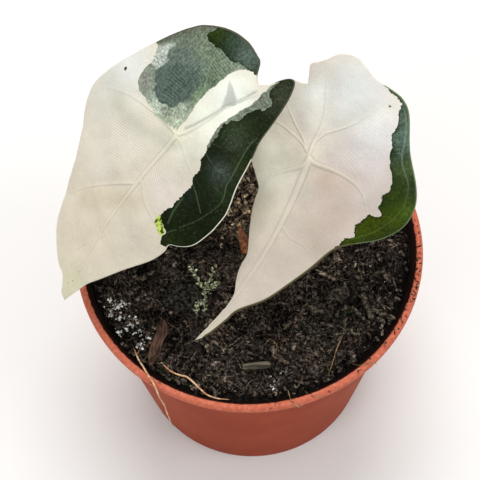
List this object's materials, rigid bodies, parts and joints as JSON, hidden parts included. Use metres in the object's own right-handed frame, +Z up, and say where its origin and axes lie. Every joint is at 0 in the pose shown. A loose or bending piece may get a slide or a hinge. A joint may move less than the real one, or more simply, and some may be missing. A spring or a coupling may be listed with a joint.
{
  "type": "potted alocasia",
  "caption": "Young alocasia with broad, half white, heart-shaped leaves on short stalks, growing in soil in a round terracotta-coloured plastic nursery pot.",
  "frame": {"origin": "centre of the pot's base, on the plane the pot stands on", "axes": "+Z up through the pot, -Y towards the front of the picture, +X to its right"},
  "size_m": [0.1237, 0.12, 0.1855],
  "materials": {
    "pot": "satin terracotta-coloured plastic",
    "soil": "rough moist peat and coir",
    "stalk": "smooth pale green skin",
    "blade": "satin leaf skin, white marbled with dark green",
    "sheath": "dry papery brown",
    "bark": "rough brown",
    "root": "pale satin"
  },
  "bodies": {
    "root": {"pot": "pot", "soil": "soil", "stem_left": "stalk", "blade_left": "blade", "stem_right": "stalk", "blade_right": "blade", "old_sheath": "sheath", "peat_lump": "soil", "bark_twist": "bark", "bark_chip": "bark", "root_strand": "root"}
  },
  "joints": []
}
